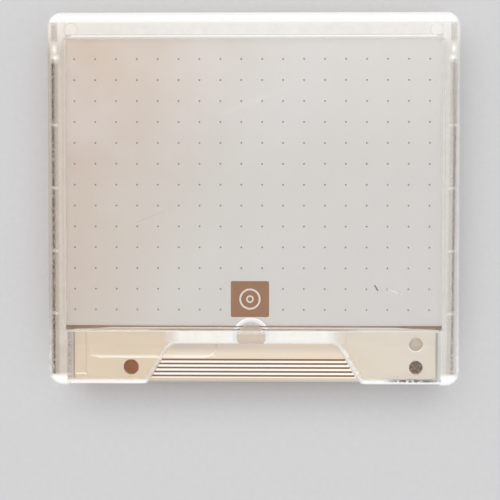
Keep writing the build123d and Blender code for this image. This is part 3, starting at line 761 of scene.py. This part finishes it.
def brown_plastic():
    """The label side: brown, and painted lighter and warmer on the foot of the round location hole, as though the
    light fell on it.
    """
    g = Graph("brown_plastic")
    x, y, z = g.axes()
    foot = g.both(g.spot(x, y, ROUND_HOLE, 1.7, 0.1), g.remap(z, 2.7, 2.8))
    grain = g.remap(g.noise(g.place(), 3.0, 3.0, 0.6), 0.35, 0.65)
    floor = g.mix(grain, BROWN_FLOOR, tuple(0.85 * c for c in BROWN_FLOOR))
    return satin(g, g.mix(foot, clouded(g, BROWN, BROWN_SHADE), floor), BROWN_SHADE)


def brushed_metal(name, colour, stretch=None):
    """Sheet metal with fine lines, as stretch leaves them in the noise, or else turned round the disc's axis."""
    g = Graph(name)
    if stretch is None:
        lines = g.rings(g.from_axis("clamping_plate"), 9.0, 4.0, 0.7)
    else:
        lines = g.noise(g.place(scale=stretch), 1.0, 4.0, 0.7)
    smears = g.noise(g.place(), 0.25, 3.0)
    rough = g.math("ADD", g.remap(lines, 0.3, 0.7, 0.34, 0.46), g.remap(smears, 0.45, 0.75, 0.0, 0.12))
    return g.surface(
        Base_Color=g.mix(g.remap(lines, 0.25, 0.75), colour, tuple(0.82 * c for c in colour)),
        Metallic=1.0,
        Roughness=rough,
        Normal=g.bump(lines, 0.25, 0.01),
    )


def recording_disc():
    """Bronze mirror layer under clear plastic, with faint rings and dust."""
    g = Graph("recording_disc")
    radius = g.from_axis("disc")
    rings = g.rings(radius, 2.5, 3.0)
    recorded = g.remap(radius, DISC_RECORDED_RADIUS, DISC_RECORDED_RADIUS + 0.4)
    colour = g.mix(recorded, DISC_MIRROR, DISC_BRONZE)
    colour = g.mix(g.remap(rings, 0.3, 0.7, 0.0, 0.35), colour, DISC_VIOLET)
    colour = g.mix(g.remap(radius, DISC_HUB_RADIUS, DISC_HUB_RADIUS + 0.3, 1.0, 0.0), colour, DISC_HUB)
    mottling = g.remap(g.noise(g.place(), 3.0, 4.0, 0.7), 0.6, 0.75, 0.0, 0.15)
    return g.surface(
        Base_Color=colour,
        Metallic=g.remap(radius, DISC_HUB_RADIUS, DISC_HUB_RADIUS + 0.3, 0.0, 0.9),
        Roughness=g.math("ADD", g.remap(rings, 0.3, 0.7, 0.10, 0.18), mottling),
        Normal=g.bump(rings, 0.1, 0.005),
        Coat_Weight=0.6,
    )


def studio_floor():
    g = Graph("floor_paper")
    grain = g.noise(g.place(), 0.8, 4.0)
    shade = g.mix(g.remap(grain, 0.3, 0.7), FLOOR_PALE, FLOOR_PALER)
    return g.surface(Base_Color=shade, Roughness=0.85, Normal=g.bump(grain, 0.15, 0.02))


def paint(node, material):
    """Gives a CAD node its finish, in the slots it already has."""
    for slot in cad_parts[node].material_slots:
        slot.link = "DATA"
        slot.material = material


def as_piece(name, mesh, material, body):
    """A piece from a bmesh in the frame's own coordinates."""
    data = bpy.data.meshes.new(name)
    bmesh.ops.recalc_face_normals(mesh, faces=mesh.faces)
    mesh.to_mesh(data)
    mesh.free()
    data.materials.append(material)
    piece = bpy.data.objects.new(name, data)
    bpy.context.scene.collection.objects.link(piece)
    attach(piece, body)


def add_prism(mesh, outline, low, high):
    """A closed prism over an outline of (x, y) points, between two heights."""
    bottom = [mesh.verts.new((x, y, low)) for x, y in outline]
    top = [mesh.verts.new((x, y, high)) for x, y in outline]
    mesh.faces.new(list(reversed(bottom)))
    mesh.faces.new(top)
    count = len(outline)
    for i in range(count):
        j = (i + 1) % count
        mesh.faces.new((bottom[i], bottom[j], top[j], top[i]))


def circle(x, y, radius, sides):
    turns = [2 * math.pi * k / sides for k in range(sides)]
    return [(x + radius * math.cos(t), y + radius * math.sin(t)) for t in turns]


def rounded_rectangle(x, y, width, length, radius, steps=6):
    points = []
    for corner, (sx, sy) in enumerate(((1, 1), (-1, 1), (-1, -1), (1, -1))):
        cx = x + sx * (width / 2 - radius)
        cy = y + sy * (length / 2 - radius)
        for k in range(steps + 1):
            turn = math.pi / 2 * (corner + k / steps)
            points.append((cx + radius * math.cos(turn), cy + radius * math.sin(turn)))
    return points


def add_ring(mesh, x, y, outer, inner, low, high):
    """A flat ring with square edges."""
    loops = []
    for radius, height in ((outer, low), (outer, high), (inner, high), (inner, low)):
        loops.append([mesh.verts.new((px, py, height)) for px, py in circle(x, y, radius, RING_SIDES)])
    for a in range(4):
        b = (a + 1) % 4
        for i in range(RING_SIDES):
            j = (i + 1) % RING_SIDES
            mesh.faces.new((loops[a][i], loops[a][j], loops[b][j], loops[b][i]))


def print_dots(card_top, ink):
    """The dots, without those that the square covers."""
    mesh = bmesh.new()
    high = card_top + INK_THICKNESS * MM
    for row in range(DOT_ROWS):
        for column in range(DOT_COLUMNS):
            x = DOT_FIRST_X + column * DOT_PITCH
            y = DOT_FIRST_Y + row * DOT_PITCH
            if abs(x - SQUARE_X) < SQUARE_WIDTH / 2 and abs(y - SQUARE_Y) < SQUARE_LENGTH / 2:
                continue
            add_prism(mesh, circle(x * MM, y * MM, DOT_RADIUS * MM, DOT_SIDES), card_top, high)
    as_piece("card_dots", mesh, ink, "case")


def print_square(card_top, ink, pale_ink):
    """The plain brown square, with two rings on it."""
    middle = card_top + INK_THICKNESS * MM
    high = middle + INK_THICKNESS * MM
    mesh = bmesh.new()
    outline = rounded_rectangle(
        SQUARE_X * MM, SQUARE_Y * MM, SQUARE_WIDTH * MM, SQUARE_LENGTH * MM, SQUARE_RADIUS * MM
    )
    add_prism(mesh, outline, card_top, middle)
    as_piece("card_square", mesh, ink, "case")
    mesh = bmesh.new()
    for outer, inner in RINGS:
        add_ring(mesh, SQUARE_X * MM, SQUARE_Y * MM, outer * MM, inner * MM, middle, high)
    as_piece("card_ring", mesh, pale_ink, "case")


def make_lights():
    for name, size, place, watts, colour in LIGHTS:
        data = bpy.data.lights.new(name, "AREA")
        data.shape = "RECTANGLE"
        data.size, data.size_y = size
        data.energy = watts
        data.color = colour
        lamp = bpy.data.objects.new(name, data)
        bpy.context.scene.collection.objects.link(lamp)
        lamp.location = place
        lamp.rotation_mode = "QUATERNION"
        lamp.rotation_quaternion = Vector(place).to_track_quat("Z", "Y")


def make_world():
    world = bpy.data.worlds.new("studio")
    bpy.context.scene.world = world
    world.use_nodes = True
    background = world.node_tree.nodes.get("Background")
    background.inputs["Color"].default_value = (*WORLD_COLOUR, 1.0)
    background.inputs["Strength"].default_value = WORLD_STRENGTH


def make_floor():
    mesh = bmesh.new()
    corners = ((-1, -1), (1, -1), (1, 1), (-1, 1))
    mesh.faces.new([mesh.verts.new((FLOOR_HALF * x, FLOOR_HALF * y, 0.0)) for x, y in corners])
    data = bpy.data.meshes.new("floor")
    mesh.to_mesh(data)
    mesh.free()
    data.materials.append(studio_floor())
    floor = bpy.data.objects.new("floor", data)
    bpy.context.scene.collection.objects.link(floor)
    floor.location.z = -FLOOR_DROP


def make_camera():
    data = bpy.data.cameras.new("camera")
    data.lens = CAMERA_LENS
    data.sensor_width = CAMERA_SENSOR
    data.clip_start, data.clip_end = CAMERA_CLIP
    camera = bpy.data.objects.new("camera", data)
    bpy.context.scene.collection.objects.link(camera)
    back = Vector((math.sin(CAMERA_LEAN_RIGHT), math.sin(CAMERA_LEAN_CLOSED_END), 1.0)).normalized()
    right = Vector((0.0, 1.0, 0.0)).cross(back).normalized()
    up = back.cross(right)
    camera.location = Vector(CAMERA_TARGET) + back * CAMERA_DISTANCE
    camera.rotation_mode = "QUATERNION"
    camera.rotation_quaternion = Matrix((right, up, back)).transposed().to_quaternion()
    bpy.context.scene.camera = camera


make_camera()
make_floor()
make_lights()
make_world()
bpy.context.scene.view_settings.view_transform = "Standard"

clear = clear_plastic()
paint("case_front", clear)
paint("case_back", clear)
paint("index_card", card_stock())
paint("hub_side_shell", cream_plastic())
paint("label_side_shell", brown_plastic())
paint("write_protect_tab", moulded("tab_plastic", TAB))
paint("shutter_slider", moulded("slider_plastic", SLIDER))
paint("shutter", brushed_metal("shutter_sheet", SHUTTER_METAL, BRUSHED_ALONG_X))
paint("clamping_plate", brushed_metal("plate_steel", PLATE_METAL))
paint("disc", recording_disc())

card_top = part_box("index_card")[1].z
print_dots(card_top, printed("dot_ink", DOT_INK))
print_square(card_top, printed("square_ink", SQUARE_INK), printed("pale_ink", PALE_INK))
